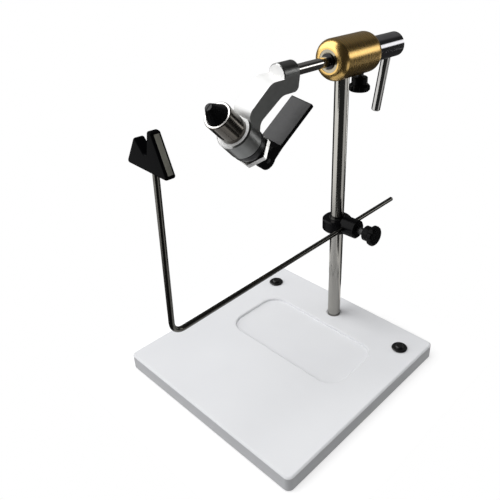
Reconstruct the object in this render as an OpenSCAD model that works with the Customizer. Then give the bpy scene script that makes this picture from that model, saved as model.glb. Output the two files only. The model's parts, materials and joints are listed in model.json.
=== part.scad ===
// Rotary fly tying vise on a square pedestal base, with a bobbin rest.
// Millimetres. The origin is the centre of the base's underside, +Z is up,
// the jaws point to -Y and the crank is at +Y.

/* [Base] */
// Side of the square base plate
plate_w = 152.4; // [130:0.1:200]
// Thickness of the base plate
plate_t = 11; // [10:0.5:16]
// Corner radius of the base plate, seen from above
plate_corner_r = 4; // [2:0.5:10]
// Chamfer along the plate's upper edge
plate_edge = 1; // [0.4:0.1:2]
// Thickness of the rubber mat under the plate
mat_t = 1; // [0.6:0.1:2]
// How far the mat stays in from the plate's edge
mat_inset = 5; // [2:0.5:12]
// Length of the tray pocket, left to right
pocket_len = 100; // [60:1:110]
// Width of the tray pocket, front to back
pocket_wid = 48.2; // [30:0.1:52]
// Distance from the plate's rear edge to the pocket
pocket_back = 34.6; // [33:0.1:45]
// Corner radius of the pocket
pocket_r = 12; // [4:0.5:14]
// Depth of the pocket
pocket_depth = 2; // [1:0.1:3]
// Distance from the plate's rear edge to the post's centre
post_back = 19.7; // [18:0.1:22]
// Distance from the plate's side to each accessory hole's centre
plug_in = 15; // [10:0.5:25]
// Distance from the plate's rear edge to each accessory hole's centre
plug_back = 20.9; // [15:0.1:25]
// Diameter of the accessory holes
plug_hole_d = 9.6; // [8:0.1:12]
// Depth of the accessory holes
plug_hole_depth = 8; // [6:0.5:8.5]
// Diameter of a plug's flange
plug_flange_d = 11.2; // [11:0.1:14]
// Thickness of a plug's flange
plug_flange_t = 1.2; // [1.1:0.1:3]
// Diameter of the button on a plug
plug_button_d = 5.6; // [4:0.1:8]
// Height of the button on a plug
plug_button_h = 1.3; // [1:0.1:4]

/* [Post] */
// Diameter of the upright post
post_d = 9.525; // [9.4:0.005:9.6]
// Depth of the post's socket in the plate
post_seat = 7.2; // [6:0.1:8]
// Height of the rotary axis above the plate
axis_height = 194.4; // [170:0.1:230]
// Diameter of the screw that holds the post
post_screw_d = 5; // [4:0.5:6]
// Diameter of the relief round the post's foot
foot_ring_d = 11.2; // [10.6:0.1:13]
// Depth of that relief
foot_ring_t = 0.8; // [0.4:0.1:1.5]

/* [Rotary head] */
// Diameter of the brass housing
housing_d = 25.4; // [24:0.1:32]
// Length of the brass housing
housing_len = 40.8; // [36:0.1:50]
// Flat rim round the bearing at the housing's front end
housing_front_rim = 0.2; // [0.1:0.05:2]
// The same rim at the housing's rear end
housing_rear_rim = 0.55; // [0.1:0.05:2]
// Distance from the housing's front end to the post's centre
post_setback = 14.2; // [13:0.1:16]
// Distance from the housing's rear end to the lock screw's centre
lock_in = 8.1; // [7.6:0.1:11]
// Diameter of the shaft
shaft_d = 6.35; // [6:0.05:6.4]
// Free length of shaft between the arm's hub and the housing
shaft_reach = 31.2; // [25:0.1:45]
// Outer diameter of the ball bearings
bearing_d = 12.7; // [12.7:0.1:13]
// Width of the ball bearings
bearing_w = 4.76; // [4:0.01:5]
// Diameter of a bearing's flange
bearing_flange_d = 13.9; // [13.4:0.1:15]
// Thickness of that flange
bearing_flange_t = 1.1; // [0.6:0.1:1.4]
// How far a bearing sits in from the housing's end
bearing_recess = 0.2; // [0.1:0.05:0.5]
// Diameter of a bearing ball
ball_d = 1.588; // [1.2:0.001:1.8]
// Number of balls in a bearing
ball_count = 9; // [6:1:11]

/* [Crank] */
// Diameter of the crank's hub
crank_hub_d = 16; // [14:0.1:18]
// Length of the crank's hub
crank_hub_len = 30.1; // [26:0.1:36]
// Distance from the hub's rear end to the handle's centre
handle_in = 8.1; // [6:0.1:10]
// Diameter of the crank's handle
handle_d = 6.35; // [5:0.05:7]
// Reach of the handle below the rotary axis
handle_reach = 46.3; // [30:0.1:60]

/* [Arm] */
// Turn of the whole rotor about the rotary axis
rotor_turn = 8.4; // [-180:0.1:180]
// Width of the arm, which is its hub's diameter as well
arm_w = 12.7; // [11:0.1:16]
// Length of the arm's hub
arm_hub_len = 12.7; // [10:0.1:16]
// Forward run of the arm's top edge from the hub to its bend
arm_top_run = 9.8; // [7:0.1:13]
// Forward distance from the hub to the arm's front edge
arm_front_run = 25.4; // [24:0.1:27]
// Drop from the top edge to the corner of the front edge
arm_front_drop = 14; // [12:0.1:16]
// Depth of the arm under the hub
arm_depth = 9.5; // [8:0.1:11]
// Depth of the arm where it comes down to the ring
arm_foot_depth = 9.2; // [8:0.1:11]

/* [Jaws] */
// Tilt of the jaws above level
jaw_tilt = 45.5; // [40:0.1:50]
// Forward distance from the arm's hub to the centre of the jaw tube's mouth
mouth_run = 42; // [40:0.1:46]
// Drop from the rotary axis to the centre of the mouth
mouth_drop = 12.9; // [10:0.1:16]
// Outer diameter of the jaw tube
tube_d = 15.9; // [15:0.1:17]
// Bore of the jaw tube
tube_bore = 13.1; // [12.6:0.1:13.6]
// Length of the jaw tube
tube_len = 40.1; // [38:0.1:44]
// Outer diameter of the arm's ring
ring_d = 21; // [20:0.1:25]
// Length of the arm's ring
ring_len = 13.8; // [12:0.1:15]
// Distance from the mouth to the ring
ring_back = 16.5; // [15:0.1:18]
// Length of the jaws in front of the mouth
jaw_nose = 8.3; // [6:0.1:14]
// Width of the closed jaws at their tip
jaw_tip_w = 4.6; // [2.4:0.1:6]
// Gap between the closed jaws
jaw_gap = 0.5; // [0.3:0.05:1]
// Width of the adjusting nut across its flats
nut_flats = 19.2; // [17.4:0.1:20.5]
// Thickness of the adjusting nut
nut_t = 3.5; // [3:0.1:5]
// Width of the cam lever's paddle
paddle_w = 16; // [14:0.1:22]
// Thickness of the paddle
paddle_t = 3; // [2.4:0.1:5]
// Length of the lever from its pin to its end
lever_len = 42.6; // [30:0.1:60]
// Width across the lever's two cams
cam_w = 16; // [12:0.1:18]
// Radius of the cams
cam_r = 5.9; // [5:0.1:6.5]
// Offset of the cams' centre from the pin
cam_throw = 0.7; // [0.3:0.05:1]

/* [Bobbin rest] */
// Height of the clamp's centre above the plate
clamp_height = 80; // [50:1:110]
// Height of the clamp's ring
clamp_h = 9.1; // [7:0.1:12]
// Height of the ring's upper face above the rod's axis
clamp_top = 3.6; // [2.4:0.1:5]
// Distance from the post's centre to the end of the clamp's boss
clamp_end = 18.8; // [14:0.1:24]
// Bare length of stud between the clamp and its knob
clamp_neck = 5.4; // [0.5:0.1:8]
// Swing of the clamp about the post
clamp_swing = 1.5; // [-30:0.1:30]
// Diameter of the rest's rod
rod_d = 3.175; // [3:0.005:3.5]
// Distance from the post's centre to the rod's centre
rod_offset = 9.4; // [9.3:0.1:11]
// Reach of the rod in front of the post
rod_reach = 153; // [120:0.1:180]
// Length of the rod behind the post
rod_tail = 56.4; // [40:0.1:80]
// Height of the rod's upright above its level part
rod_rise = 97.5; // [60:0.5:120]
// Lean of the upright toward the vise
rod_lean = 1.8; // [0:0.1:4]
// Thickness of the rest's block
rest_t = 5.4; // [5:0.1:8]
// Width of the rest's block along its foot
rest_w = 30.5; // [26:0.5:36]
// Height of the rest's block
rest_h = 20.6; // [18:0.1:26]

/* [Thumb screws] */
// Gap between the housing and the lock screw's knob
lock_gap = 2.3; // [0.5:0.1:4]
// Diameter of a thumb screw's head
knob_d = 14.2; // [12:0.1:18]
// Thickness of a thumb screw's head
knob_t = 4.3; // [3.6:0.1:8]
// Diameter of the collar under the head
knob_collar_d = 10.6; // [9:0.1:12]
// Thickness of that collar
knob_collar_t = 4.9; // [3:0.1:6]
// Number of flutes round the head
knob_flutes = 8; // [6:1:12]

/* [Hidden] */
$fn = 72;
eps = 0.2;                  // overrun of every cut
slip = 0.02;                // radial clearance of a fixed fit
run = 0.06;                 // radial clearance of a running fit
face_gap = 0.3;             // gap between parts that pass each other
stud_d = 5;                 // thread of both thumb screws
set_d = 3;                  // thread of the set screws
set_len = 3.6;              // length of the set screws
set_socket_af = 1.5;        // hexagon socket of the set screws
small_edge = 0.5;           // chamfer on turned parts

plate_top = mat_t + plate_t;
axis_z = plate_top + axis_height;
post_y = plate_w / 2 - post_back;
plug_y = plate_w / 2 - plug_back;
post_floor = plate_top - post_seat;
housing_front = post_y - post_setback;
housing_rear = housing_front + housing_len;
lock_y = housing_rear - lock_in;
hub_rear = housing_front - shaft_reach;
hub_front = hub_rear - arm_hub_len;
mouth_y = hub_front - mouth_run;
mouth_z = -mouth_drop;

// screw that holds the post
post_screw_head_d = 2 * post_screw_d;
post_screw_head_h = post_screw_d / 2;
post_screw_len = 12;
post_screw_af = 3;
post_screw_hex_depth = 1.6;
post_edge = 0.5;
// the post stops this far below the rotary axis
post_stop = 5.4;

// ball bearings
bore_room = 0.925;          // room between the shaft and the housing's bore
pitch_r = (bearing_d + shaft_d) / 4;
race_gap = 0.05;
race_lip = ball_d * 0.31;
shield_in = 0.15;           // how far the shields sit in from the races
shield_t = 0.3;
clip_t = 0.9;
clip_w = 1.5;
clip_open = 50;
brake_d = 4;
brake_len = 2.4;

// crank
crank_edge = 0.9;
crank_spigot_d = 8;
crank_bore_depth = 14;
handle_edge = 0.6;
handle_past = 5.6;          // how far the handle goes past the axis

// arm
hub_bore_depth = 9;
arm_top_drop = 0.3;
arm_bend_r = 8;
arm_nose_r = 5;
arm_heel_r = 3;
arm_slope = 36.8;           // slope of the arm's underside
arm_under_run = 0.4;
ring_edge = 0.8;
lock_ring_d = 20.4;         // front diameter of the lock ring
lock_ring_tail_d = 18.8;    // its diameter at the rear
nut_turn = -5.5;            // turn of the nut about the jaw tube

// jaws and draw rod, measured back from the mouth
jaw_root_r = 5.7;           // radius of the closed jaws inside the tube
jaw_face_r = 6.4;           // their radius in front of the mouth
jaw_step = 0.3;             // how far that shoulder stands off the mouth
jaw_split = 8;              // where the jaws change from halves to ears
jaw_pin_back = 11;          // the jaws' pin
jaw_tail = 13.9;            // rear end of the jaws' ears
jaw_pin_d = 2;
jaw_pin_len = 9.4;
ear_w = 8.4;
ear_gap = 0.3;
ear_play = 0.6;             // room for the ears to swing
tongue_t = 2;
draw_disc_t = 2.4;
draw_disc_d = 12.2;
draw_rod_d = 4.8;
tube_floor = 33;            // where the tube's bore narrows
tube_edge = 0.4;
spring_wire_d = 0.9;
spring_mean_d = 8.6;
spring_turns = 6;
spring_sides = 6;
spring_rings = 8;           // rings of a turn

// cam lever
lever_pin_d = 3.175;
eye_t = 5;
eye_d = 8;
fork_w = 5.8;
cam_gap = face_gap;
nut_past = 0.4;             // how far the nut stands past the tube's rear end
nut_rear = tube_len + nut_past;
// the lock ring fills the place between the arm's ring and the nut
lock_ring_t = nut_rear - nut_t - face_gap - ring_back - ring_len;
lever_pin_back = nut_rear + cam_gap + cam_r + cam_throw;
lever_rise = 40.1;          // rise of the lever above level
cheek_top = 11.4;           // where the cams run out on the paddle
cheek_front = 4.4;          // how far the cams stand in front of the paddle
paddle_edge = 0.7;

// bobbin rest
clamp_ring_r = 10.3;
clamp_boss_r = 6.6;
clamp_edge = 1;
clamp_shoe_d = stud_d;
liner_t = 1;                // wall of the sleeve between post and clamp
liner_rim = 0.3;            // how far the sleeve shows at each end
rod_bend_r = 7;
bend_lap = 1.5;             // degrees by which the bend runs into the rod
rod_edge = 0.4;
rest_grip = 7.5;            // depth of the rod's hole in the block
rest_foot_z = rod_rise - rest_grip;
rest_corner_r = 1.3;
// corners of the rest's outline, as shares of its width and height
rest_shares = [[-0.59, 0.08], [0.39, 0], [0.1, 0.98], [0, 1],
    [-0.082, 0.365], [-0.334, 0.77]];
flute_d = 3;
stud_len = 9;

// ---- places ----

// The turned rotor, with its own origin on the rotary axis.
module on_rotor() {
    translate([0, 0, axis_z]) rotate([0, rotor_turn, 0]) children();
}

// The jaw tube: origin at the mouth's centre, +Z forward out of the mouth,
// +Y to the rear and up.
module on_jaw() {
    on_rotor() translate([0, mouth_y, mouth_z])
        rotate([90 - jaw_tilt, 0, 0]) children();
}

// The cam lever: origin on its pin, +Y along the paddle, +Z to its front.
module on_lever() {
    on_rotor() translate([0, jaw_y(lever_pin_back, 0), jaw_z(lever_pin_back, 0)])
        rotate([lever_rise, 0, 0]) children();
}

// The clamp: origin on the post's axis at the clamp's middle height.
module on_clamp() {
    translate([0, post_y, plate_top + clamp_height])
        rotate([0, 0, clamp_swing]) children();
}

// The upright of the rest's rod: origin on the level part's axis, +Z up.
module on_upright() {
    on_clamp() translate([rod_offset, -rod_reach, 0])
        rotate([-rod_lean, 0, 0]) children();
}

// Y and Z, on the rotor, of a point of the jaw's middle plane.
function jaw_y(back, up) =
    mouth_y + back * cos(jaw_tilt) + up * sin(jaw_tilt);
function jaw_z(back, up) =
    mouth_z - back * sin(jaw_tilt) + up * cos(jaw_tilt);

// ---- shapes ----

// Children's +Z turned to +Y.
module along_y() {
    rotate([-90, 0, 0]) children();
}

// Children's +Z turned to +X.
module along_x() {
    rotate([0, 90, 0]) children();
}

// A plate in the YZ plane, centred on X, from an outline of Y and Z.
module side_plate(width, outline) {
    rotate([90, 0, 90])
        linear_extrude(height = width, center = true) polygon(outline);
}

// A cylinder whose two rims are chamfered.
module turned(d, h, edge) {
    rotate_extrude() polygon([[0, 0], [d / 2 - edge, 0], [d / 2, edge],
        [d / 2, h - edge], [d / 2 - edge, h], [0, h]]);
}

// A rectangle with round corners.
module round_rect(w, l, r) {
    square([w - 2 * r, l], center = true);
    square([w, l - 2 * r], center = true);
    for (sx = [-1, 1], sy = [-1, 1])
        translate([sx * (w / 2 - r), sy * (l / 2 - r)]) circle(r = r);
}

// A square slab with round corners and a chamfered upper edge.
module slab(w, h, r, edge) {
    side = [[-w / 2, 0], [w / 2, 0], [w / 2 - edge, edge],
        [edge - w / 2, edge]];
    linear_extrude(height = h - edge) round_rect(w, w, r);
    translate([0, 0, h - edge]) {
        side_plate(w - 2 * r, side);
        rotate([0, 0, 90]) side_plate(w - 2 * r, side);
        for (sx = [-1, 1], sy = [-1, 1])
            translate([sx * (w / 2 - r), sy * (w / 2 - r), 0])
                cylinder(r1 = r, r2 = r - edge, h = edge);
    }
}

function unit(v) = v / norm(v);

// One rounded corner of an outline: p is the corner, a and b its
// neighbours, r the radius.
function corner(a, p, b, r) = r == 0 ? [p] :
    let (u = unit(a - p), v = unit(b - p), half = acos(u * v) / 2,
        m = unit(u + v), c = p + m * r / sin(half),
        s = u[0] * v[1] - u[1] * v[0] > 0 ? 1 : -1,
        start = atan2(-m[1], -m[0]), span = 90 - half, steps = 8)
    [for (k = [-steps : steps])
        let (w = start - s * span * k / steps)
        c + r * [cos(w), sin(w)]];

// An outline whose corners are rounded by a list of radii.
function rounded(pts, radii) = let (n = len(pts))
    [for (i = [0 : n - 1]) each
        corner(pts[(i + n - 1) % n], pts[i], pts[(i + 1) % n], radii[i])];

// A set screw along +Z, its socket at the top.
module set_screw() {
    difference() {
        turned(set_d, set_len, set_d / 10);
        translate([0, 0, set_len / 2])
            cylinder(d = set_socket_af / cos(30), h = set_len, $fn = 6);
    }
}

// The hole of a set screw along +Z, open at both ends.
module set_hole(depth) {
    translate([0, 0, -eps])
        cylinder(d = set_d + 2 * slip, h = depth + 2 * eps);
}

// A fluted thumb screw head along +Z: the collar first, then the head.
module thumb_knob() {
    difference() {
        union() {
            turned(knob_collar_d, knob_collar_t + small_edge, small_edge);
            translate([0, 0, knob_collar_t]) turned(knob_d, knob_t, small_edge * 2);
        }
        for (k = [0 : knob_flutes - 1])
            rotate([0, 0, k * 360 / knob_flutes])
                translate([knob_d / 2 + flute_d / 4, 0, knob_collar_t - eps])
                    cylinder(d = flute_d, h = knob_t + 2 * eps, $fn = 24);
        translate([0, 0, -eps])
            cylinder(d = stud_d + 2 * slip, h = knob_collar_t + knob_t / 2 + eps);
    }
}

// ---- base ----

module base_plate() {
    color("gainsboro") difference() {
        translate([0, 0, mat_t])
            slab(plate_w, plate_t, plate_corner_r, plate_edge);
        translate([0, plate_w / 2 - pocket_back - pocket_wid / 2,
            plate_top - pocket_depth])
            linear_extrude(height = pocket_depth + eps)
                round_rect(pocket_len, pocket_wid, pocket_r);
        for (side = [-1, 1])
            translate([side * (plate_w / 2 - plug_in), plug_y,
                plate_top - plug_hole_depth])
                cylinder(d = plug_hole_d, h = plug_hole_depth + eps);
        translate([0, post_y, post_floor])
            cylinder(d = post_d + 2 * slip, h = post_seat + eps);
        translate([0, post_y, plate_top - foot_ring_t])
            cylinder(d = foot_ring_d, h = foot_ring_t + eps);
        translate([0, post_y, mat_t - eps])
            cylinder(d = post_screw_d + 2 * slip, h = plate_t);
        translate([0, post_y, mat_t - eps])
            cylinder(d1 = post_screw_head_d + 2 * (eps + slip),
                d2 = post_screw_d + 2 * slip, h = post_screw_head_h + eps);
    }
}

module base_mat() {
    side = plate_w - 2 * mat_inset;
    color("dimgray") linear_extrude(height = mat_t)
        round_rect(side, side, plate_corner_r);
}

module post_screw() {
    color("silver") translate([0, post_y, mat_t]) difference() {
        union() {
            cylinder(d1 = post_screw_head_d, d2 = post_screw_d,
                h = post_screw_head_h);
            cylinder(d = post_screw_d, h = post_screw_len);
        }
        translate([0, 0, -eps]) cylinder(d = post_screw_af / cos(30),
            h = post_screw_hex_depth + eps, $fn = 6);
    }
}

module accessory_plug(side) {
    color([0.08, 0.08, 0.08])
    translate([side * (plate_w / 2 - plug_in), plug_y, plate_top]) {
        turned(plug_flange_d, plug_flange_t, small_edge);
        translate([0, 0, plug_flange_t - small_edge])
            turned(plug_button_d, plug_button_h + small_edge, small_edge);
        translate([0, 0, -plug_hole_depth + face_gap])
            cylinder(d = plug_hole_d - 2 * run,
                h = plug_hole_depth - face_gap + plug_flange_t / 2);
    }
}

module accessory_plug_left() { accessory_plug(-1); }

module accessory_plug_right() { accessory_plug(1); }

// ---- post and housing ----

module post() {
    top = axis_z - post_stop;
    color("silver") translate([0, post_y, post_floor]) difference() {
        turned(post_d, top - post_floor, post_edge);
        translate([0, 0, -eps]) cylinder(d = post_screw_d + 2 * slip,
            h = post_screw_len + mat_t - post_floor + face_gap + eps);
    }
}

// Half section of the housing: radius and distance from its front end.
function housing_section() =
    let (r = housing_d / 2, rim = bearing_flange_d / 2 + slip,
        f = r - rim - housing_front_rim, b = r - rim - housing_rear_rim,
        seat = bearing_d / 2 + slip, bore = shaft_d / 2 + bore_room,
        step = bearing_recess + bearing_flange_t,
        deep = bearing_recess + bearing_w, n = 10)
    concat([[rim, 0]],
        [for (k = [0 : n]) [r - f + f * sin(90 * k / n),
            f - f * cos(90 * k / n)]],
        [for (k = [0 : n]) [r - b + b * cos(90 * k / n),
            housing_len - b + b * sin(90 * k / n)]],
        [[rim, housing_len], [rim, housing_len - step],
            [seat, housing_len - step], [seat, housing_len - deep],
            [bore, housing_len - deep], [bore, deep], [seat, deep],
            [seat, step], [rim, step]]);

module housing() {
    color("goldenrod") difference() {
        translate([0, housing_front, axis_z]) along_y()
            rotate_extrude() polygon(housing_section());
        translate([0, post_y, axis_z - housing_d])
            cylinder(d = post_d + 2 * slip, h = housing_d - post_stop + slip);
        translate([0, lock_y, axis_z - housing_d])
            cylinder(d = stud_d + 2 * run, h = housing_d);
        translate([-housing_d / 2, post_y, axis_z - post_stop - set_d])
            along_x() set_hole(housing_d / 2 - post_d / 2);
    }
}

// Runs its children at both bearings, +Z inward from the outer face.
module at_bearings() {
    translate([0, housing_front + bearing_recess, axis_z]) along_y() children();
    translate([0, housing_rear - bearing_recess, axis_z])
        rotate([90, 0, 0]) children();
}

module bearing_outer_races() {
    inner = pitch_r + race_lip;
    color("silver") at_bearings() rotate_extrude() difference() {
        polygon([[inner, 0], [bearing_flange_d / 2, 0],
            [bearing_flange_d / 2, bearing_flange_t],
            [bearing_d / 2, bearing_flange_t], [bearing_d / 2, bearing_w],
            [inner, bearing_w]]);
        translate([pitch_r, bearing_w / 2]) circle(d = ball_d + 2 * race_gap);
    }
}

module bearing_inner_races() {
    color("silver") at_bearings() rotate_extrude() difference() {
        translate([shaft_d / 2 + slip, 0])
            square([pitch_r - race_lip - shaft_d / 2 - slip, bearing_w]);
        translate([pitch_r, bearing_w / 2]) circle(d = ball_d + 2 * race_gap);
    }
}

module bearing_balls() {
    color("white") at_bearings() for (k = [0 : ball_count - 1])
        rotate([0, 0, k * 360 / ball_count])
            translate([pitch_r, 0, bearing_w / 2]) sphere(d = ball_d, $fn = 32);
}

module bearing_shields() {
    color("silver") at_bearings()
        for (z = [shield_in, bearing_w - shield_in - shield_t])
            translate([0, 0, z]) rotate_extrude()
                translate([pitch_r - race_lip + race_gap, 0])
                    square([2 * (race_lip - race_gap), shield_t]);
}

module housing_set_screw() {
    color([0.15, 0.15, 0.15])
    translate([-post_d / 2 - slip, post_y, axis_z - post_stop - set_d])
        rotate([0, -90, 0]) set_screw();
}

// ---- rotation lock ----

// Upper face of the lock screw's knob.
lock_top = axis_z - housing_d / 2 - lock_gap;

module lock_knob() {
    color([0.08, 0.08, 0.08]) translate([0, lock_y, lock_top])
        rotate([180, 0, 0]) thumb_knob();
}

module lock_stud() {
    bottom = lock_top - knob_collar_t - knob_t / 2 + face_gap;
    top = axis_z - shaft_d / 2 - face_gap - brake_len;
    color("silver") translate([0, lock_y, bottom])
        turned(stud_d, top - bottom, small_edge);
}

module brake_pad() {
    color("ivory")
    translate([0, lock_y, axis_z - shaft_d / 2 - face_gap - brake_len])
        turned(brake_d, brake_len, small_edge / 2);
}

// ---- shaft and crank ----

crank_front = housing_rear + face_gap;
shaft_front = hub_rear - hub_bore_depth + face_gap;
shaft_rear = crank_front + crank_bore_depth - face_gap;

module shaft() {
    color("silver") translate([0, shaft_front, axis_z]) along_y()
        turned(shaft_d, shaft_rear - shaft_front, small_edge);
}

module shaft_clip() {
    color("silver")
    translate([0, housing_front + bearing_recess - clip_t, axis_z]) along_y()
        rotate([0, 0, 90 + rotor_turn + clip_open])
        rotate_extrude(angle = 360 - clip_open)
            translate([shaft_d / 2 + slip, 0]) square([clip_w, clip_t]);
}

module crank_hub() {
    color([0.35, 0.35, 0.36]) on_rotor() translate([0, crank_front, 0])
    difference() {
        union() {
            along_y() turned(crank_hub_d, crank_hub_len, crank_edge);
            translate([0, -face_gap - bearing_recess, 0]) along_y()
                cylinder(d = crank_spigot_d,
                    h = face_gap + bearing_recess + crank_edge);
        }
        translate([0, -crank_hub_len, 0]) along_y()
            cylinder(d = shaft_d + 2 * slip,
                h = crank_hub_len + crank_bore_depth);
        translate([0, crank_hub_len - handle_in, -crank_hub_d])
            cylinder(d = handle_d + 2 * slip, h = crank_hub_d + handle_past);
        translate([-crank_hub_d / 2, crank_bore_depth / 2, 0])
            along_x() set_hole(crank_hub_d / 2 - shaft_d / 2);
    }
}

module crank_handle() {
    color("silver") on_rotor()
    translate([0, crank_front + crank_hub_len - handle_in, -handle_reach])
        turned(handle_d, handle_reach + handle_past - face_gap, handle_edge);
}

module crank_set_screw() {
    color([0.15, 0.15, 0.15]) on_rotor()
    translate([-shaft_d / 2 - slip, crank_front + crank_bore_depth / 2, 0])
        rotate([0, -90, 0]) set_screw();
}

// ---- arm ----

// Side outline of the arm: Y and Z on the rotor, from the hub's front end
// forward and down to the ring and back.
function arm_outline() =
    let (top = -arm_top_drop, front = hub_front - arm_front_run,
        under = -arm_depth, back = front + arm_foot_depth,
        slope = tan(arm_slope),
        knee = hub_front - arm_under_run)
    rounded([
        [hub_rear - small_edge, top],
        [hub_front - arm_top_run, top],
        [front, top - arm_front_drop],
        [jaw_y(ring_back + ring_edge, ring_d / 2 - ring_edge) - ring_edge,
            jaw_z(ring_back + ring_edge, ring_d / 2 - ring_edge) - ring_edge],
        [jaw_y(ring_back + ring_edge, tube_d / 3), jaw_z(ring_back + ring_edge, tube_d / 3)],
        [jaw_y(ring_back + ring_len - ring_edge, tube_d / 3),
            jaw_z(ring_back + ring_len - ring_edge, tube_d / 3)],
        [back, jaw_z(ring_back + ring_len - ring_edge, ring_d / 2)],
        [back, under - (knee - back) * slope],
        [knee, under],
        [hub_rear - small_edge, under]],
        [0, arm_bend_r, arm_nose_r, 0, 0, 0, 0, arm_nose_r, arm_bend_r,
            arm_heel_r]);

module arm() {
    color("gray") difference() {
        union() {
            on_rotor() {
                translate([0, hub_front, 0]) along_y()
                    turned(arm_w, arm_hub_len, small_edge);
                side_plate(arm_w, arm_outline());
            }
            on_jaw() translate([0, 0, -ring_back - ring_len])
                turned(ring_d, ring_len, ring_edge);
        }
        on_jaw() translate([0, 0, -tube_len])
            cylinder(d = tube_d + 2 * slip, h = tube_len + ring_d);
        on_rotor() translate([0, hub_rear - hub_bore_depth, 0]) along_y()
            cylinder(d = shaft_d + 2 * slip, h = arm_hub_len);
        on_rotor() translate([-arm_w / 2, hub_rear - hub_bore_depth / 2, 0])
            along_x() set_hole(arm_w / 2 - shaft_d / 2);
        on_jaw() translate([-ring_d / 2, 0, -ring_back - ring_len / 2])
            along_x() set_hole(ring_d / 2 - tube_d / 2);
    }
}

module arm_set_screws() {
    color([0.15, 0.15, 0.15]) {
        on_rotor() translate([-shaft_d / 2 - slip,
            hub_rear - hub_bore_depth / 2, 0]) rotate([0, -90, 0]) set_screw();
        on_jaw() translate([-tube_d / 2 - slip, 0, -ring_back - ring_len / 2])
            rotate([0, -90, 0]) set_screw();
    }
}

// ---- jaw tube ----

// Half section of the jaw tube: radius and distance ahead of the mouth.
function tube_section() =
    let (r = tube_d / 2, bore = tube_bore / 2, rod = draw_rod_d / 2 + face_gap)
    [[bore, 0], [r - tube_edge, 0], [r, -tube_edge],
        [r, tube_edge - tube_len], [r - tube_edge, -tube_len],
        [rod, -tube_len], [rod, -tube_floor], [bore, -tube_floor]];

module jaw_tube() {
    color("silver") on_jaw() rotate_extrude() polygon(tube_section());
}

module lock_ring() {
    bore = tube_d / 2 + slip;
    front = lock_ring_d / 2;
    tail = lock_ring_tail_d / 2;
    color([0.08, 0.08, 0.08]) on_jaw()
    translate([0, 0, -ring_back - ring_len - lock_ring_t]) rotate_extrude()
        polygon([[bore, 0], [tail - small_edge, 0], [tail, small_edge],
            [front, lock_ring_t / 2], [front, lock_ring_t], [bore, lock_ring_t]]);
}

module adjusting_nut() {
    color("silver") on_jaw() translate([0, 0, -nut_rear])
    rotate([0, 0, nut_turn]) difference() {
        cylinder(d = nut_flats / cos(30), h = nut_t, $fn = 6);
        translate([0, 0, -eps])
            cylinder(d = tube_d + 2 * run, h = nut_t + 2 * eps);
    }
}

// ---- jaws ----

// One jaw: side -1 is the left one, 1 the right one.
module jaw(side) {
    nose = jaw_tip_w / 2;
    reach = draw_disc_d / 2;
    ear_y = -side * (tongue_t / 2 + ear_gap + reach / 2);
    ear_len = jaw_tail - jaw_split - ear_play;
    color([0.1, 0.1, 0.1]) on_jaw() difference() {
        union() {
            intersection() {
                rotate_extrude() polygon([[0, -jaw_split], [jaw_root_r, -jaw_split],
                    [jaw_root_r, jaw_step], [jaw_face_r, jaw_step],
                    [nose, jaw_nose - jaw_step], [nose - jaw_step, jaw_nose],
                    [0, jaw_nose]]);
                translate([side * (reach + jaw_gap / 2), 0, 0])
                    cube([2 * reach, 4 * reach, 4 * jaw_tail], center = true);
            }
            intersection() {
                translate([0, 0, -jaw_tail])
                    cylinder(r = jaw_root_r, h = jaw_tail - jaw_split + eps);
                union() {
                    translate([0, ear_y, (ear_len - 2 * jaw_tail) / 2])
                        cube([ear_w, reach, ear_len], center = true);
                    translate([side * (jaw_gap / 2 + ear_w / 4), ear_y, -jaw_split])
                        cube([ear_w / 2, reach, 2 * ear_play + eps], center = true);
                }
            }
        }
        translate([0, 0, -jaw_pin_back]) rotate([90, 0, 0])
            cylinder(d = jaw_pin_d + 2 * run, h = 4 * jaw_root_r, center = true);
    }
}

module left_jaw() { jaw(-1); }

module right_jaw() { jaw(1); }

module jaw_pin() {
    color("silver") on_jaw() translate([0, 0, -jaw_pin_back])
        rotate([90, 0, 0]) translate([0, 0, -jaw_pin_len / 2])
            turned(jaw_pin_d, jaw_pin_len, jaw_pin_d / 10);
}

module draw_rod() {
    disc = jaw_tail + ear_play;
    tip = jaw_split + ear_play;
    color("silver") on_jaw() difference() {
        union() {
            translate([0, 0, -disc - draw_disc_t])
                turned(draw_disc_d, draw_disc_t, small_edge / 2);
            translate([0, 0, -lever_pin_back])
                cylinder(d = draw_rod_d, h = lever_pin_back - disc);
            translate([0, 0, -(disc + tip) / 2])
                cube([ear_w - 2, tongue_t, disc - tip + eps], center = true);
            translate([0, 0, -lever_pin_back]) along_x()
                cylinder(d = eye_d, h = eye_t, center = true);
        }
        translate([0, 0, -jaw_pin_back]) rotate([90, 0, 0])
            cylinder(d = jaw_pin_d + 2 * slip, h = tongue_t + 2 * eps, center = true);
        translate([0, 0, -lever_pin_back]) along_x()
            cylinder(d = lever_pin_d + 2 * slip, h = eye_t + 2 * eps, center = true);
    }
}

// Opening spring: one tube coiled between the draw rod's disc and the
// floor of the jaw tube, its two ends cut flat.
spring_front = jaw_tail + ear_play + draw_disc_t + face_gap;
spring_rear = tube_floor - slip;
spring_len = spring_rear - spring_front - spring_wire_d;
spring_gap = spring_len / spring_turns - spring_wire_d;
echo(spring_gap = spring_gap);

// A point of the coil's skin: ring i, side j.
function spring_point(i, j) =
    let (turn = i / spring_rings, a = 360 * turn,
        w = 360 * j / spring_sides,
        r = spring_mean_d / 2 + spring_wire_d / 2 * cos(w),
        z = -spring_rear + spring_wire_d / 2 + spring_len * turn / spring_turns
            + spring_wire_d / 2 * sin(w))
    [r * cos(a), r * sin(a), z];

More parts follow.
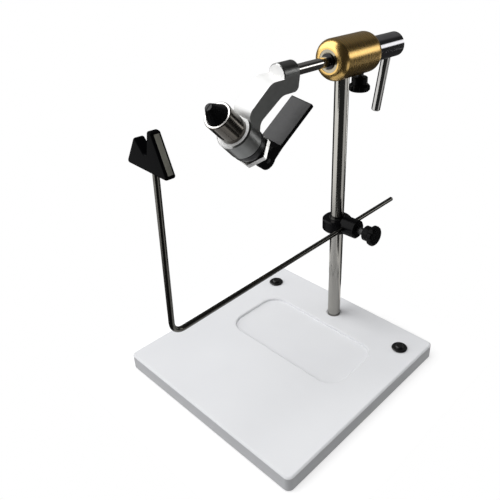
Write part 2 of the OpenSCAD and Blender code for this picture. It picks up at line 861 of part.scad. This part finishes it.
module coil(rings, sides) {
    points = [for (i = [0 : rings], j = [0 : sides - 1]) spring_point(i, j)];
    walls = [for (i = [0 : rings - 1], j = [0 : sides - 1])
        let (a = i * sides + j, b = i * sides + (j + 1) % sides)
        each [[a, a + sides, b], [b, a + sides, b + sides]]];
    first = [for (j = [1 : sides - 2]) [0, j, j + 1]];
    last = [for (j = [1 : sides - 2])
        [rings * sides, rings * sides + j + 1, rings * sides + j]];
    polyhedron(points = points, faces = concat(walls, first, last));
}

module jaw_spring() {
    color("silver") on_jaw() coil(spring_turns * spring_rings, spring_sides);
}

// ---- cam lever ----

// Direction from the lever's pin to the nut, in the lever's own plane.
cam_turn = 180 - jaw_tilt - lever_rise;

module cam_lever() {
    color([0.08, 0.08, 0.08]) on_lever() difference() {
        union() {
            side_plate(paddle_w, rounded([
                [cheek_top - paddle_t, -paddle_t], [lever_len, -paddle_t],
                [lever_len, 0], [cheek_top - paddle_t, 0]],
                [0, paddle_edge, paddle_edge, 0]));
            translate([0, cam_throw * cos(cam_turn), cam_throw * sin(cam_turn)])
                along_x() cylinder(r = cam_r, h = cam_w, center = true);
            side_plate(cam_w, [[-cam_r / 2, -cam_r * 0.8], [cheek_top, -paddle_t],
                [cheek_top, 0], [cheek_top - cheek_front, cheek_front],
                [0, cam_r * 0.9]]);
        }
        cube([fork_w, 2 * (cheek_top - paddle_t), 4 * cam_r], center = true);
        along_x() cylinder(d = lever_pin_d + 2 * run, h = paddle_w, center = true);
    }
}

module cam_pin() {
    color("silver") on_lever() along_x() translate([0, 0, -cam_w / 2])
        turned(lever_pin_d, cam_w, small_edge / 2);
}

// ---- bobbin rest ----

// The ring's underside, below the rod's axis.
clamp_under = clamp_top - clamp_h;

module clamp_liner() {
    color([0.15, 0.15, 0.15]) on_clamp()
        translate([0, 0, clamp_under - liner_rim]) difference() {
            cylinder(d = post_d + 2 * liner_t, h = clamp_h + 2 * liner_rim);
            translate([0, 0, -eps])
                cylinder(d = post_d + 2 * run, h = clamp_h + 2 * (liner_rim + eps));
        }
}

module clamp_body() {
    bore_r = post_d / 2 + liner_t + run;
    color([0.1, 0.1, 0.1]) on_clamp() difference() {
        union() {
            translate([0, 0, clamp_under])
                turned(2 * clamp_ring_r, clamp_h, clamp_edge);
            translate([bore_r, 0, 0]) along_x()
                turned(2 * clamp_boss_r, clamp_end - bore_r, clamp_edge);
        }
        translate([0, 0, clamp_under - clamp_h / 2])
            cylinder(r = bore_r, h = 2 * clamp_h);
        translate([rod_offset, 0, 0]) along_y()
            cylinder(d = rod_d + 2 * run, h = 4 * clamp_ring_r, center = true);
        along_x() cylinder(d = stud_d + 2 * run, h = clamp_end + eps);
    }
}

module clamp_shoe() {
    start = post_d / 2 + liner_t + face_gap;
    end = rod_offset - rod_d / 2 - face_gap;
    color("ivory") on_clamp() translate([start, 0, 0]) along_x()
        cylinder(d = clamp_shoe_d, h = end - start);
}

clamp_knob_x = clamp_end + clamp_neck;

module clamp_stud() {
    start = rod_offset + rod_d / 2 + face_gap;
    end = clamp_knob_x + knob_collar_t + knob_t / 2 - face_gap;
    color("silver") on_clamp() translate([start, 0, 0]) along_x()
        turned(stud_d, end - start, small_edge);
}

module clamp_knob() {
    color([0.08, 0.08, 0.08]) on_clamp() translate([clamp_knob_x, 0, 0])
        along_x() thumb_knob();
}

module cradle_rod() {
    bend = 90 + rod_lean;
    setback = rod_bend_r * tan(bend / 2);
    color("silver") {
        on_clamp() translate([rod_offset, setback - rod_reach, 0]) along_y() {
            cylinder(d = rod_d, h = rod_reach + rod_tail - setback - rod_edge);
            translate([0, 0, rod_reach + rod_tail - setback - rod_edge])
                cylinder(d1 = rod_d, d2 = rod_d - 2 * rod_edge, h = rod_edge);
        }
        on_clamp() translate([rod_offset, setback - rod_reach, rod_bend_r])
            rotate([180, 90, 0]) rotate([0, 0, -bend_lap])
                rotate_extrude(angle = bend + 2 * bend_lap)
                    translate([rod_bend_r, 0]) circle(d = rod_d - 2 * slip);
        on_upright() translate([0, 0, setback])
            cylinder(d = rod_d, h = rod_rise - setback);
    }
}

// Front outline of the rest: X and Z from the upright's axis and the foot.
function rest_outline() = rounded(
    [for (share = rest_shares) [rest_w * share[0], rest_h * share[1]]],
    [for (share = rest_shares) rest_corner_r]);

module bobbin_rest() {
    color([0.08, 0.08, 0.08]) on_upright() translate([0, 0, rest_foot_z])
    difference() {
        rotate([90, 0, 0]) linear_extrude(height = rest_t, center = true)
            polygon(rest_outline());
        translate([0, 0, -eps - rest_h / 4])
            cylinder(d = rod_d + 2 * run, h = rest_grip + rest_h / 4 + eps + face_gap);
    }
}

base_plate();
base_mat();
post_screw();
accessory_plug_left();
accessory_plug_right();
post();
housing();
bearing_outer_races();
bearing_balls();
bearing_inner_races();
bearing_shields();
housing_set_screw();
lock_knob();
lock_stud();
brake_pad();
shaft();
shaft_clip();
crank_hub();
crank_handle();
crank_set_screw();
arm();
arm_set_screws();
jaw_tube();
lock_ring();
adjusting_nut();
left_jaw();
right_jaw();
jaw_pin();
draw_rod();
jaw_spring();
cam_lever();
cam_pin();
clamp_liner();
clamp_body();
clamp_shoe();
clamp_stud();
clamp_knob();
cradle_rod();
bobbin_rest();
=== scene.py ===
"""Looks of the rotary fly tying vise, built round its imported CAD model."""

import json
import math

import bmesh
import bpy
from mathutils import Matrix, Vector


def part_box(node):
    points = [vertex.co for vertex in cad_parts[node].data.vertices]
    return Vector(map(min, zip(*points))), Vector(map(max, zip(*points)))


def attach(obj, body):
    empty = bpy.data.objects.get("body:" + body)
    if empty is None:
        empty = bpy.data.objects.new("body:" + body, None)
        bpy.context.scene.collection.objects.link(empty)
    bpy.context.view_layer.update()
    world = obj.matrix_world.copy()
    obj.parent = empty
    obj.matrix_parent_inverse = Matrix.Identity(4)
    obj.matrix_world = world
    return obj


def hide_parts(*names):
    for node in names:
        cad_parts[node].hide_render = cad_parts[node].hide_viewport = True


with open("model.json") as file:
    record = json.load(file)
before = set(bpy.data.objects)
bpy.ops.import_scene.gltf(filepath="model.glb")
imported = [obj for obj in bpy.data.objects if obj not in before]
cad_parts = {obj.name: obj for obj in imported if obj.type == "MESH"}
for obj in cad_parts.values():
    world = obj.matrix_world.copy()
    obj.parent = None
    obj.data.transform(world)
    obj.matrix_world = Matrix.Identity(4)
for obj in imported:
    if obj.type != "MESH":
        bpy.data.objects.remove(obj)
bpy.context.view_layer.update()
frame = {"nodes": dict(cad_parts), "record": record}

MM = 0.001
PLATE_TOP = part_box("base_plate")[1][2]

# How the parts stand in the CAD model.
ROTOR_TURN = math.radians(8.4)  # the rotor, about its shaft
JAW_TILT = math.radians(45.5)  # the jaws, above level
PADDLE_TILT = math.radians(49.9)  # the paddle's facing, above level
ROD_TURN = math.radians(1.5)  # the rest's rod, from straight ahead
REST_SLANT = math.radians(23.6)  # the rest's end, from upright

# Turns that lay a pattern's Z along a part's own axis.
UPRIGHT = (0.0, 0.0, 0.0)
ALONG_SHAFT = (math.radians(90), 0.0, 0.0)
ALONG_JAWS = (math.radians(90) - JAW_TILT, ROTOR_TURN, 0.0)
ALONG_HANDLE = (0.0, ROTOR_TURN, 0.0)
ALONG_REST_END = (0.0, -REST_SLANT, 0.0)


# ---- shader nodes ----


def linear(hex_colour):
    """An sRGB hex colour as linear RGBA."""
    parts = [int(hex_colour[i : i + 2], 16) / 255 for i in (1, 3, 5)]
    rgb = [c / 12.92 if c <= 0.04045 else ((c + 0.055) / 1.055) ** 2.4 for c in parts]
    return (*rgb, 1.0)


def node(tree, kind, inputs=(), **settings):
    """Adds a node. An input given as a socket is linked, any other is set."""
    made = tree.nodes.new(kind)
    for name, value in settings.items():
        setattr(made, name, value)
    for name, value in dict(inputs).items():
        if isinstance(value, bpy.types.NodeSocket):
            tree.links.new(value, made.inputs[name])
        else:
            made.inputs[name].default_value = value
    return made


def maths(tree, operation, *values):
    """One sum on one or two values."""
    made = node(tree, "ShaderNodeMath", dict(enumerate(values)), operation=operation)
    return made.outputs[0]


def ranged(tree, value, source, target, **settings):
    """A value carried from one range over to another."""
    ends = zip(("From Min", "From Max", "To Min", "To Max"), (*source, *target))
    made = node(tree, "ShaderNodeMapRange", {"Value": value, **dict(ends)}, **settings)
    return made.outputs["Result"]


def chosen(tree, share, first, second):
    """The first value where share is 0, the second where it is 1."""
    made = node(tree, "ShaderNodeMix", {0: share, 2: first, 3: second}, data_type="FLOAT")
    return made.outputs[0]


def pattern(tree, size, turn, detail):
    """Noise whose grains have the given size in millimetres, in the part's own axes."""
    place = node(tree, "ShaderNodeTexCoord").outputs["Object"]
    laid = node(
        tree,
        "ShaderNodeMapping",
        {"Vector": place, "Rotation": turn, "Scale": [s * MM for s in size]},
        vector_type="TEXTURE",
    )
    noise = node(
        tree,
        "ShaderNodeTexNoise",
        {"Vector": laid.outputs["Vector"], "Scale": 1.0, "Detail": detail},
    )
    return noise.outputs["Fac"]


# ---- finishes ----

MOTTLE_DETAIL = 2.0
GRAIN_DETAIL = 3.0
NOISE_SPAN = (0.3, 0.7)  # where nearly all values of the noise lie


def finish(
    name, colours, rough, grain, depth, mottle=(12, 12, 12), turn=UPRIGHT, **sockets
):
    """A finish: two colours mottled together, and a grain in its gloss and its relief.

    colours and rough are the two ends, grain and mottle sizes in millimetres,
    and depth the height of the grain in millimetres. sockets are the shader's other
    inputs, with _ for a space.
    """
    made = bpy.data.materials.new(name)
    made.use_nodes = True
    tree = made.node_tree
    shader = tree.nodes["Principled BSDF"]
    for socket, value in sockets.items():
        shader.inputs[socket.replace("_", " ")].default_value = value
    spots = pattern(tree, mottle, turn, MOTTLE_DETAIL)
    mixed = node(
        tree,
        "ShaderNodeMix",
        {0: spots, 6: linear(colours[0]), 7: linear(colours[1])},
        data_type="RGBA",
    )
    grains = pattern(tree, grain, turn, GRAIN_DETAIL)
    relief = node(
        tree,
        "ShaderNodeBump",
        {"Height": grains, "Strength": 1.0, "Distance": depth * MM},
    )
    tree.links.new(mixed.outputs[2], shader.inputs["Base Color"])
    tree.links.new(ranged(tree, grains, NOISE_SPAN, rough), shader.inputs["Roughness"])
    tree.links.new(relief.outputs["Normal"], shader.inputs["Normal"])
    return made


FINISHES = {
    # polyester powder coat on steel plate: pale, satin, a faint orange peel
    "powder_coat": finish(
        "pale_powder_coat", ("#DEDFE2", "#E6E7E9"), (0.38, 0.5), (1.6, 1.6, 1.6), 0.02,
        mottle=(45, 45, 45),
    ),
    # the same coat on the plate's sides, greyer: painted shade
    "powder_coat_painted_shade_side": finish(
        "grey_powder_coat_painted_shade", ("#AFB0B3", "#B7B8BB"), (0.38, 0.5), (1.6, 1.6, 1.6), 0.02,
        mottle=(45, 45, 45),
    ),
    # sheet rubber, matt with a fine pebble
    "mat_rubber": finish(
        "black_sheet_rubber", ("#141414", "#1C1C1C"), (0.7, 0.85), (0.8, 0.8, 0.8), 0.05,
    ),
    # stainless bar, centreless ground and polished lengthwise
    "post_steel": finish(
        "polished_stainless_bar", ("#93918C", "#A3A19C"), (0.1, 0.16), (0.9, 0.9, 40), 0.001,
        mottle=(4, 4, 80), Metallic=1.0,
    ),
    # the rest's rod: stainless wire, polished, its colour darkened as painted shade
    "rod_steel": finish(
        "polished_stainless_wire_painted_shade", ("#4E4D49", "#5E5D58"), (0.14, 0.24), (0.7, 20, 0.7), 0.0015,
        mottle=(3, 40, 3), Metallic=1.0,
    ),
    # cartridge brass, turned and brushed: fine rings round the housing
    "housing_brass": finish(
        "satin_turned_brass", ("#C6A260", "#D2AF6D"), (0.25, 0.3), (12, 12, 0.7), 0.0005,
        mottle=(20, 20, 8), turn=ALONG_SHAFT, Metallic=1.0,
    ),
    # bearing steel, ground: the races and their balls
    "bearing_steel": finish(
        "ground_bearing_steel", ("#857F70", "#9A9484"), (0.12, 0.2), (3, 3, 0.3), 0.002,
        turn=ALONG_SHAFT, Metallic=1.0,
    ),
    # pressed sheet shields of the bearings, a little duller than the rings
    "shield_steel": finish(
        "pressed_bearing_shield", ("#6B675C", "#7C776B"), (0.2, 0.3), (2, 2, 0.3), 0.002,
        turn=ALONG_SHAFT, Metallic=1.0,
    ),
    # stainless shaft, ground
    "shaft_steel": finish(
        "ground_stainless_shaft", ("#BAB8B4", "#C8C6C2"), (0.08, 0.14), (4, 4, 0.4), 0.001,
        turn=ALONG_SHAFT, Metallic=1.0,
    ),
    # spring steel clip, blackened
    "clip_steel": finish(
        "blackened_spring_steel", ("#2A2A2C", "#3A3A3C"), (0.25, 0.35), (1, 1, 1), 0.003,
        Metallic=1.0,
    ),
    # stainless crank hub, turned and polished
    "crank_steel": finish(
        "polished_turned_steel", ("#8E8D8F", "#9F9EA1"), (0.08, 0.14), (8, 8, 0.6), 0.001,
        mottle=(8, 8, 5), turn=ALONG_SHAFT, Metallic=1.0,
    ),
    # stainless crank handle, polished lengthwise
    "handle_steel": finish(
        "polished_stainless_handle", ("#959492", "#A3A2A0"), (0.1, 0.16), (0.9, 0.9, 30), 0.0008,
        mottle=(3, 3, 30), turn=ALONG_HANDLE, Metallic=1.0,
    ),
    # aluminium, glass-bead blasted: an even grey satin, its colour darkened as painted shade on
    # the faces that turn from the light
    "arm_aluminium": finish(
        "bead_blasted_aluminium_painted_shade", ("#787978", "#868785"), (0.3, 0.4), (0.7, 0.7, 0.7), 0.01,
        mottle=(5, 5, 5), Metallic=1.0,
    ),
    # the arm's top and front faces: painted highlight, near white and with little metal gloss
    "arm_painted_highlight": finish(
        "aluminium_painted_highlight", ("#F0F0EF", "#F8F8F7"), (0.35, 0.45), (0.7, 4, 0.7), 0.006,
        mottle=(5, 5, 5), Metallic=0.1,
    ),
    # stainless jaw tube, turned and polished, its colour darkened as painted shade
    "tube_steel": finish(
        "turned_stainless_tube_painted_shade", ("#57534D", "#625E58"), (0.13, 0.19), (9, 9, 0.6), 0.001,
        mottle=(6, 6, 4), turn=ALONG_JAWS, Metallic=1.0,
    ),
    # the tube's end: painted highlight, a pale copy of the tube's steel
    "tube_mouth_painted_highlight": finish(
        "stainless_rim_painted_highlight", ("#D8D6D2", "#E4E2DE"), (0.2, 0.3), (3, 3, 3), 0.002,
        turn=ALONG_JAWS, Metallic=1.0,
    ),
    # stainless nut, faces polished
    "nut_steel": finish(
        "polished_stainless_nut", ("#BDBCB9", "#D0CFCC"), (0.16, 0.26), (2, 2, 2), 0.004,
        turn=ALONG_JAWS, Metallic=1.0,
    ),
    # drawn spring wire
    "spring_steel": finish(
        "drawn_spring_wire", ("#77766F", "#8E8D86"), (0.25, 0.35), (1, 1, 1), 0.002, Metallic=1.0,
    ),
    # bright turned steel: post screw, draw rod and jaw pin
    "screw_steel": finish(
        "turned_screw_steel", ("#A8A8A6", "#C0C0BE"), (0.2, 0.32), (1.2, 1.2, 1.2), 0.003,
        Metallic=1.0,
    ),
    # black oxide: set screws, the knobs' studs and the cam pin
    "black_screw": finish(
        "black_oxide_screw", ("#121212", "#1E1E1F"), (0.35, 0.45), (0.6, 0.6, 0.6), 0.005,
    ),
    # lock ring, turned, black oxide
    "black_ring": finish(
        "black_oxide_turned_ring", ("#0D0D0E", "#151516"), (0.3, 0.42), (4, 4, 0.4), 0.005,
        turn=ALONG_JAWS, Specular_IOR_Level=0.3,
    ),
    # hardened jaws, black oxide and oiled
    "jaw_steel": finish(
        "oiled_black_oxide", ("#040405", "#090909"), (0.22, 0.34), (1.2, 1.2, 1.2), 0.006,
        turn=ALONG_JAWS, Specular_IOR_Level=0.35, IOR=1.4,
    ),
    # aluminium lever, black anodised
    "lever_black": finish(
        "black_anodised_aluminium", ("#050506", "#0A0A0B"), (0.3, 0.4), (0.6, 0.6, 0.6), 0.006,
        mottle=(3, 3, 3), Specular_IOR_Level=0.18, IOR=1.25,
    ),
    # the paddle's faces, anodised over a fine blast: greyer and matt
    "paddle_faces": finish(
        "black_anodised_blasted_face", ("#262627", "#303031"), (0.42, 0.54), (0.6, 0.6, 0.6), 0.01,
        mottle=(3, 3, 3), Specular_IOR_Level=0.5,
    ),
    # clamp body, black anodised, a little glossier
    "clamp_black": finish(
        "gloss_black_anodised", ("#040405", "#080809"), (0.24, 0.34), (0.9, 0.9, 0.9), 0.006,
        Specular_IOR_Level=0.2, IOR=1.25,
    ),
    # thumb knobs, moulded black nylon
    "knob_plastic": finish(
        "black_moulded_nylon", ("#040405", "#080809"), (0.3, 0.42), (0.7, 0.7, 0.7), 0.01,
        Specular_IOR_Level=0.2, IOR=1.25,
    ),
    # the clamp's sleeve on the post, black nylon
    "liner_nylon": finish(
        "black_nylon_sleeve", ("#0D0D0D", "#151515"), (0.4, 0.5), (0.8, 0.8, 0.8), 0.006,
    ),
    # brake pad and clamp shoe, natural nylon
    "white_nylon": finish(
        "natural_nylon", ("#DAD8CE", "#E4E2DA"), (0.4, 0.5), (1, 1, 1), 0.006,
        Subsurface_Weight=0.05,
    ),
    # plugs, moulded black polyethylene
    "plug_rubber": finish(
        "black_polyethylene", ("#060606", "#0C0C0C"), (0.3, 0.4), (0.8, 0.8, 0.8), 0.01,
    ),
    # rest, black acetal, polished
    "rest_plastic": finish(
        "glossy_black_acetal", ("#040405", "#08080A"), (0.14, 0.22), (2.5, 2.5, 2.5), 0.006,
        Specular_IOR_Level=0.2, IOR=1.1,
    ),
    # the rest's slanted end: painted sheen, a streaked grey band on the black acetal
    "rest_end_painted_sheen": finish(
        "acetal_end_painted_sheen", ("#403F3A", "#8E8D82"), (0.34, 0.44), (1.2, 1.2, 9), 0.006,
        mottle=(1.6, 6, 26), turn=ALONG_REST_END, Specular_IOR_Level=0.4,
    ),
}

slots = {part["node"]: part["material_slot"] for part in frame["record"]["subparts"]}
for name, cad in frame["nodes"].items():
    for material_slot in cad.material_slots:
        material_slot.material = FINISHES[slots[name]]


# ---- pieces ----

BODY_OF = {
    member: body
    for body, members in frame["record"]["behaviour"]["bodies"].items()
    for member in members
}
WELD = 0.002 * MM
FLAT = math.radians(0.6)  # CAD facets that meet at less are one face
SHARP = math.radians(28)  # edges past this are rounded
SMOOTH = math.radians(35)  # edges under this are shaded smooth
ALIGNED = 0.99


def placed(name, data):
    """A new object in the scene."""
    made = bpy.data.objects.new(name, data)
    bpy.context.scene.collection.objects.link(made)
    return made


def round_edges(bm, rounds, segments, limited):
    """Rounds each sharp edge by the first of the (test, width) pairs that it passes.

    A width of 0 leaves the edge as it is.
    """
    done = set()
    for test, width in rounds:
        sharp = [
            e
            for e in bm.edges
            if e.is_manifold
            and e.calc_face_angle(0.0) > SHARP
            and not any(v in done for v in e.verts)
            and test(e.verts[0].co / MM, e.verts[1].co / MM)
        ]
        if not (sharp and width):
            done.update(v for e in sharp for v in e.verts)
            continue
        made = bmesh.ops.bevel(
            bm,
            geom=sharp,
            offset=width * MM,
            offset_type="OFFSET",
            affect="EDGES",
            segments=segments,
            profile=0.5,
            clamp_overlap=limited,
            material=-1,
        )
        done.update(made["verts"])


def refined(name, edge, piece_name, segments=3, special=(), faced=(), limited=True):
    """A copy of a CAD node with its sharp edges rounded, to stand for it.

    special lists (test, width) pairs: an edge whose ends pass the test gets that
    width in place of edge. faced lists (test, finish) pairs: faces that pass get the
    finish. limited keeps a rounding within its shortest neighbour edge. All sizes are
    in millimetres.
    """
    bm = bmesh.new()
    bm.from_mesh(frame["nodes"][name].data)
    bmesh.ops.remove_doubles(bm, verts=bm.verts, dist=WELD)
    bmesh.ops.dissolve_limit(bm, angle_limit=FLAT, verts=bm.verts, edges=bm.edges)
    round_edges(bm, (*special, (lambda a, b: True, edge)), segments, limited)
    mesh = bpy.data.meshes.new(piece_name)
    bm.to_mesh(mesh)
    bm.free()
    for face in mesh.polygons:
        face.use_smooth = True
    mesh.set_sharp_from_angle(angle=SMOOTH)
    mesh.materials.append(FINISHES[slots[name]])
    for test, face_finish in faced:
        mesh.materials.append(FINISHES[face_finish])
        for face in mesh.polygons:
            if test(face.center / MM, face.normal):
                face.material_index = len(mesh.materials) - 1
    piece = placed(piece_name, mesh)
    flat = piece.modifiers.new("flat_faces", "WEIGHTED_NORMAL")
    flat.keep_sharp = True
    body = BODY_OF[name]
    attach(piece, body)
    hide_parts(name)
    return piece


def facing(direction):
    """A test for faces that look in one direction."""
    return lambda centre, normal: normal.dot(direction) > ALIGNED


def ahead(tilt):
    """The direction in the rotor's own middle plane, forward and up by a tilt."""
    across, up = math.sin(ROTOR_TURN), math.cos(ROTOR_TURN)
    return Vector((math.sin(tilt) * across, -math.cos(tilt), math.sin(tilt) * up))


# Base: the tray's rim is moulded round, and the sides are painted with shade, greyer than the top.
TRAY_LOW = Vector((-55.0, -10.0))
TRAY_HIGH = Vector((55.0, 45.0))
AT_TOP = PLATE_TOP / MM - 0.1


def over_tray(point):
    return TRAY_LOW.x < point.x < TRAY_HIGH.x and TRAY_LOW.y < point.y < TRAY_HIGH.y


def tray_rim(a, b):
    return over_tray(a) and over_tray(b) and a.z > AT_TOP and b.z > AT_TOP


def plate_side(centre, normal):
    return abs(normal.z) < 0.1 and not over_tray(centre)


refined(
    "base_plate", 0.35, "coated_base_plate",
    special=((tray_rim, 1.2),), faced=((plate_side, "powder_coat_painted_shade_side"),),
)
refined("accessory_plug_left", 0.3, "left_plug_cap")
refined("accessory_plug_right", 0.3, "right_plug_cap")

# Rotor: painted highlight at the tube's mouth and on the arm's faces that catch the light.
JAWS_FORWARD = ahead(JAW_TILT)
HUB_MIDDLE = 2.5  # the arm hub's middle along Y
TOP_LEAN = 0.1  # X of the normals on the arm's top, which leans with the rotor
refined("jaw_tube", 0.12, "polished_jaw_tube", faced=((facing(JAWS_FORWARD), "tube_mouth_painted_highlight"),))
refined("crank_hub", 0.35, "crank_hub_barrel")
refined("crank_handle", 0.3, "crank_handle_bar")
refined("lock_ring", 0.3, "turned_lock_ring")


def arm_lit_faces(centre, normal):
    """Faces of the arm that look forward, and those from the hub forward that look up: these take
    the painted highlight.
    """
    forward = normal.y < -0.9 or normal.dot(JAWS_FORWARD) > ALIGNED
    up = normal.z > 0.3 and abs(normal.x - TOP_LEAN) < 0.15
    return forward or (up and centre.y < HUB_MIDDLE)


refined("arm", 0.3, "arm_with_ring", faced=((arm_lit_faces, "arm_painted_highlight"),))

# Lever: both broad faces of the paddle are matt.
PADDLE_FRONT = ahead(PADDLE_TILT)
refined(
    "cam_lever", 0.7, "cam_lever_paddle",
    faced=((facing(PADDLE_FRONT), "paddle_faces"), (facing(-PADDLE_FRONT), "paddle_faces")),
)

# Rest: well rounded, but not round the hole that takes the rod. A painted sheen, a grey
# band, lies within the border of its slanted end.
ROD_TOP = Vector((13.33, -93.4))
ROD_HOLE_R = 2.0
ROD_HOLE_TOP = 192.0
BAND_BORDER = 0.45
REST_END = Vector(
    (
        math.cos(REST_SLANT) * math.cos(ROD_TURN),
        math.cos(REST_SLANT) * math.sin(ROD_TURN),
        math.sin(REST_SLANT),
    )
)


def rod_hole(*ends):
    return all((p.xy - ROD_TOP).length < ROD_HOLE_R and p.z < ROD_HOLE_TOP for p in ends)


rest = refined(
    "bobbin_rest", 0.95, "bobbin_rest_block",
    segments=4, special=((rod_hole, 0),), limited=False,
)
rest.data.materials.append(FINISHES["rest_end_painted_sheen"])
bm = bmesh.new()
bm.from_mesh(rest.data)
band = max((f for f in bm.faces if f.normal.dot(REST_END) > ALIGNED), key=lambda f: f.calc_area())
bmesh.ops.inset_individual(bm, faces=[band], thickness=BAND_BORDER * MM)
band.material_index = len(rest.data.materials) - 1
bm.to_mesh(rest.data)
bm.free()

refined("clamp_body", 0.5, "clamp_block")
refined("lock_knob", 0.35, "lock_thumb_knob")
refined("clamp_knob", 0.35, "clamp_thumb_knob")
refined("adjusting_nut", 0.2, "hex_adjusting_nut")


# ---- stage ----

FLOOR_HALF = 0.11
PAPER_GLOW = 0.62

floor_mesh = bpy.data.meshes.new("studio_floor")
bm = bmesh.new()
bmesh.ops.create_grid(bm, x_segments=1, y_segments=1, size=FLOOR_HALF)
bm.to_mesh(floor_mesh)
bm.free()
floor = placed("studio_floor", floor_mesh)

# White paper. Its glow is there only for rays that see it, so it lights nothing.
paper = bpy.data.materials.new("white_paper_sweep")
paper.use_nodes = True
paper_tree = paper.node_tree
paper_shader = paper_tree.nodes["Principled BSDF"]
paper_shader.inputs["Base Color"].default_value = linear("#B8B8B8")
paper_shader.inputs["Roughness"].default_value = 1.0
paper_shader.inputs["Specular IOR Level"].default_value = 0.0
paper_shader.inputs["Emission Color"].default_value = (1.0, 1.0, 1.0, 1.0)
paper_path = node(paper_tree, "ShaderNodeLightPath").outputs
seen = paper_path["Is Camera Ray"]
for kind in ("Is Glossy Ray", "Is Transmission Ray"):
    seen = maths(paper_tree, "MAXIMUM", seen, paper_path[kind])
paper_tree.links.new(
    maths(paper_tree, "MULTIPLY", seen, PAPER_GLOW), paper_shader.inputs["Emission Strength"]
)
floor.data.materials.append(paper)


# ---- camera: fitted to the base's corners and the post in the photograph ----

camera_data = bpy.data.cameras.new("camera")
camera_data.lens = 40.61
camera_data.sensor_width = 36.0
camera_data.shift_x = -0.1012
camera_data.shift_y = -0.05
camera_data.clip_start = 0.01
camera = placed("camera", camera_data)
camera.location = Vector((216.19, -221.91, 271.91)) * MM + Vector((0, 0, PLATE_TOP))
camera.rotation_euler = (math.radians(61.02), 0.0, math.radians(42.03))
bpy.context.scene.camera = camera


# ---- light ----

# Light boxes that polished metal shows, in a dark room. For each: the azimuth of its
# middle, its half width, its soft edge, and its lower and upper height, all in
# degrees, then its level. Left and right are the photograph's.
BOXES = (
    (-121, 31, 7, -24, -2, 1.7),  # broad, on the left, below level
    (-138, 32, 9, 7, 75, 3.2),  # broad and tall, above it, brighter
    (54, 7, 5, 6, 17, 2.9),  # small and bright, on the right, above level
    (20, 18, 4, -38, -10, 0.9),  # dim, on the right, low
    (72, 4, 3, -21, -11, 2.8),  # narrow and bright, on the right, low
    (122, 30, 20, 14, 70, 0.13),  # faint, behind the object, high
)
ROOM_LEVEL = 0.04
EVEN_LEVEL = (0.13, 0.54)  # on everything else: from the sides and below, and from overhead
OBJECT_MIDDLE = Vector((0, 0, 0.1))

world = bpy.data.worlds.new("studio")
world.use_nodes = True
bpy.context.scene.world = world
sky = world.node_tree
sky.nodes.clear()
ray = node(sky, "ShaderNodeTexCoord").outputs["Generated"]
ray_axes = node(sky, "ShaderNodeSeparateXYZ", {0: ray}).outputs
ray_azimuth = maths(sky, "ARCTAN2", ray_axes["Y"], ray_axes["X"])


def softbox(azimuth, half_width, soft, low, high, level):
    """One of the light boxes, as its level along the ray."""
    off = maths(sky, "ABSOLUTE", maths(sky, "SUBTRACT", ray_azimuth, math.radians(azimuth)))
    edges = (
        (off, math.radians(half_width + soft), math.radians(half_width)),
        (ray_axes["Z"], math.sin(math.radians(low - soft)), math.sin(math.radians(low))),
        (ray_axes["Z"], math.sin(math.radians(high + soft)), math.sin(math.radians(high))),
    )
    lit = level
    for value, dark, bright in edges:
        share = ranged(sky, value, (dark, bright), (0.0, 1.0), interpolation_type="SMOOTHSTEP")
        lit = maths(sky, "MULTIPLY", share, lit)
    return lit


reflected = ROOM_LEVEL
for box in BOXES:
    reflected = maths(sky, "ADD", softbox(*box), reflected)
even = ranged(sky, ray_axes["Z"], (0.0, 1.0), EVEN_LEVEL)
path = node(sky, "ShaderNodeLightPath").outputs
on_object = chosen(sky, path["Is Diffuse Ray"], reflected, even)
level = chosen(sky, path["Is Camera Ray"], on_object, 1.0)
background = node(
    sky, "ShaderNodeBackground", {"Color": (1.0, 1.0, 1.0, 1.0), "Strength": level}
)
node(sky, "ShaderNodeOutputWorld", {"Surface": background.outputs[0]})


def heading(azimuth, height):
    """A unit vector from an azimuth, counted from +X towards +Y, and a height, in degrees."""
    a, h = math.radians(azimuth), math.radians(height)
    return Vector((math.cos(a) * math.cos(h), math.sin(a) * math.cos(h), math.sin(h)))


def lamp(name, towards, distance, size, watts):
    """A square soft lamp that faces the object's middle, out of sight of reflections."""
    data = bpy.data.lights.new(name, "AREA")
    data.size = size
    data.energy = watts
    made = placed(name, data)
    made.location = OBJECT_MIDDLE + towards * distance
    made.rotation_euler = (-towards).to_track_quat("-Z", "Y").to_euler()
    made.visible_glossy = False


lamp("key_lamp", heading(-125, 75), 1.2, 0.7, 5.8)
lamp("fill_lamp", heading(20, 60), 1.4, 0.8, 2.0)

bpy.context.scene.view_settings.view_transform = "Standard"
